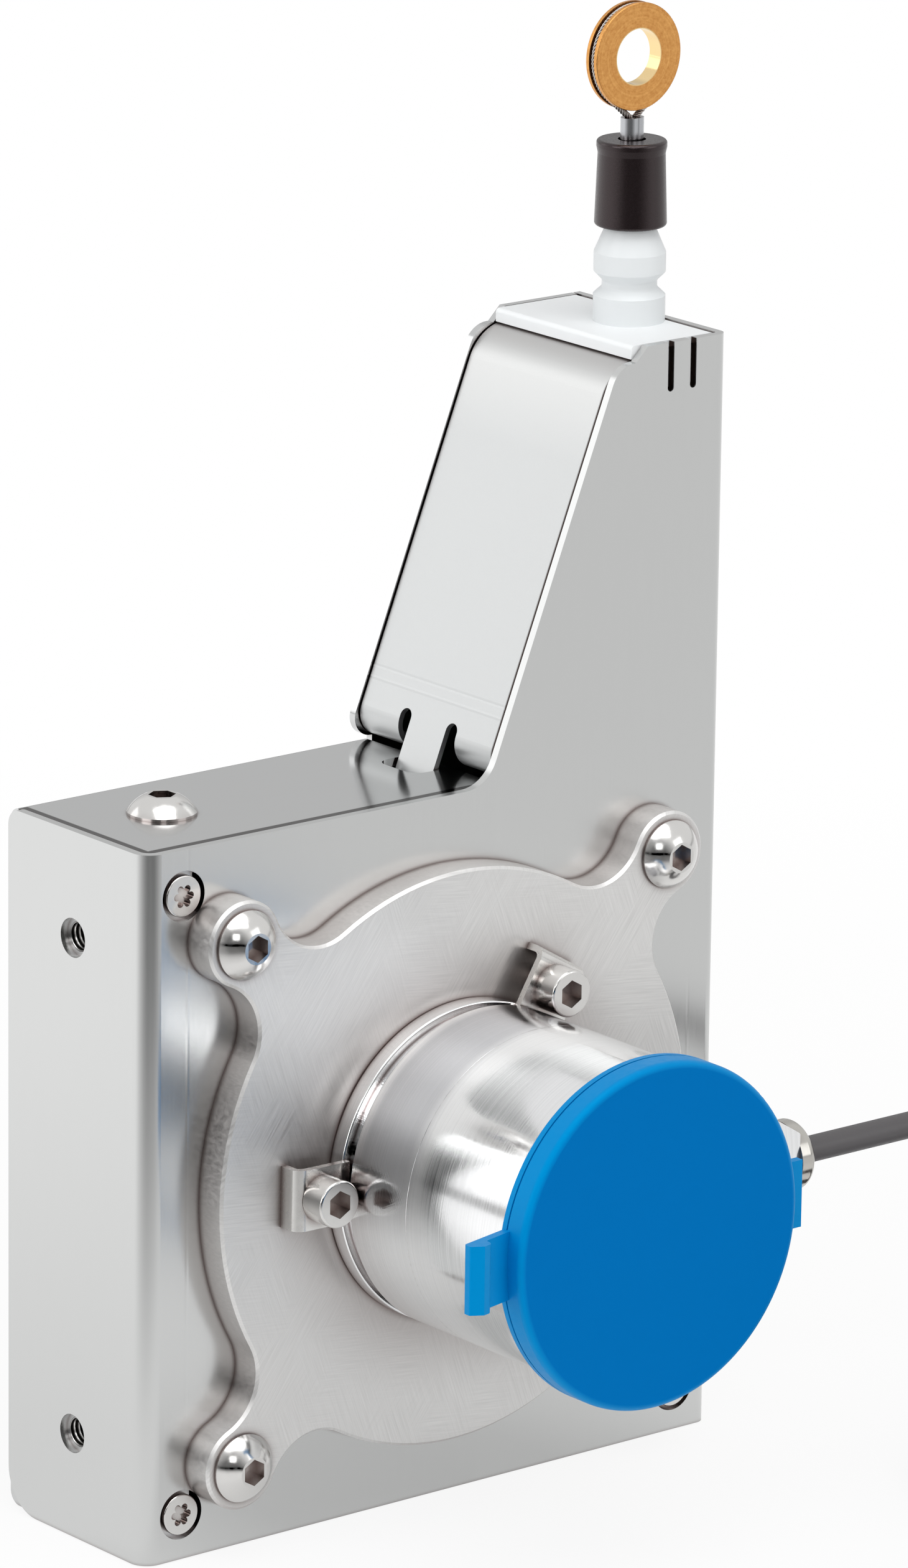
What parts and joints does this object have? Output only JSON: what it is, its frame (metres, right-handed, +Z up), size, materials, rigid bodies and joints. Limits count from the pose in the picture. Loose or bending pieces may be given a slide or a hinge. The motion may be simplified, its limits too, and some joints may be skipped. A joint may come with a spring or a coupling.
{
  "type": "draw wire encoder",
  "caption": "Flat sheet steel housing with a wire tower, a capped rotary encoder on a flange, and a pull ring on a spring-returned measuring wire.",
  "frame": {"origin": "middle of the underside of the bounding box without the cable, with the housing standing on its base", "axes": "+Z up along the drawn wire, +Y from the encoder's cap towards the housing's back wall, +X towards the wall beside the wire"},
  "size_m": [0.1982, 0.1477, 0.2589],
  "materials": {
    "housing_steel": "satin stainless sheet",
    "blasted_steel": "bead-blasted stainless sheet",
    "white_guide": "smooth natural white acetal",
    "ceramic": "polished ceramic",
    "flange_aluminium": "finely brushed face, milled sides",
    "screw_steel": "polished stainless",
    "block_aluminium": "milled",
    "encoder_metal": "turned, bright",
    "clamp_steel": "bright spring steel",
    "gland_nickel": "nickel plated",
    "black_rubber": "matte, slightly speckled",
    "board_green": "solder resist",
    "bearing_steel": "ground",
    "shaft_steel": "ground",
    "spring_case_plastic": "moulded",
    "spring_steel": "blued spring strip",
    "drum_aluminium": "turned",
    "wire_steel": "stranded stainless rope",
    "code_glass": "clear with a code track",
    "ring_brass": "matte faces, bright bore",
    "ferrule_aluminium": "pressed",
    "cap_blue": "smooth moulded",
    "cable_jacket": "matte jacket",
    "plug_plastic": "moulded",
    "pin_gold": "gold plated"
  },
  "bodies": {
    "housing": {"front_shell": "housing_steel", "rear_shell": "housing_steel", "tower_cover": "blasted_steel", "wire_guide": "white_guide", "guide_nozzle": "white_guide", "guide_eyelet": "ceramic", "flange_plate": "flange_aluminium", "flange_screws": "screw_steel", "flange_nuts": "screw_steel", "corner_screws": "screw_steel", "top_screw": "screw_steel", "upper_block": "block_aluminium", "lower_block": "block_aluminium", "corner_post": "block_aluminium", "encoder_base": "encoder_metal", "encoder_housing": "encoder_metal", "servo_clamps": "clamp_steel", "clamp_screws": "screw_steel", "gland_nut": "gland_nickel", "gland_seal": "black_rubber", "circuit_board": "board_green", "front_bearing_outer": "bearing_steel", "rear_bearing_outer": "bearing_steel", "encoder_bearing_outer": "bearing_steel", "rear_bearing_holder": "block_aluminium", "spring_case": "spring_case_plastic", "spiral_spring": "spring_steel", "cable": "cable_jacket", "cable_coil": "cable_jacket", "cable_tail": "cable_jacket", "plug_body": "plug_plastic", "plug_pins": "pin_gold"},
    "drum_group": {"drum": "drum_aluminium", "drum_shaft": "shaft_steel", "wire_winding": "wire_steel", "shaft_coupling": "drum_aluminium", "encoder_shaft": "shaft_steel", "code_disc": "code_glass", "front_bearing_inner": "bearing_steel", "rear_bearing_inner": "bearing_steel", "encoder_bearing_inner": "bearing_steel"},
    "wire_end": {"eye_ring": "ring_brass", "rope_loop": "wire_steel", "ferrule": "ferrule_aluminium", "rope_stop": "black_rubber", "wire_run": "wire_steel"},
    "cap": {"protective_cap": "cap_blue"}
  },
  "joints": [
    {"name": "drum_spin", "type": "hinge", "parent": "housing", "child": "drum_group", "pos_m": [0, 0.02845, 0.064], "axis": [0, -1, 0], "range_deg": [0, 111.7], "stiffness_Nm_per_rad": 0.05, "springref_deg": -57.3},
    {"name": "wire_pull", "type": "slide", "parent": "housing", "child": "wire_end", "axis": [0, 0, 1], "range_m": [0, 0.11]},
    {"name": "cap_pull", "type": "slide", "parent": "housing", "child": "cap", "axis": [0, -1, 0], "range_m": [0, 0.025]}
  ],
  "couplings": [
    {"joint": "wire_pull", "follows": "drum_spin", "m_per_rad": 0.0564}
  ]
}
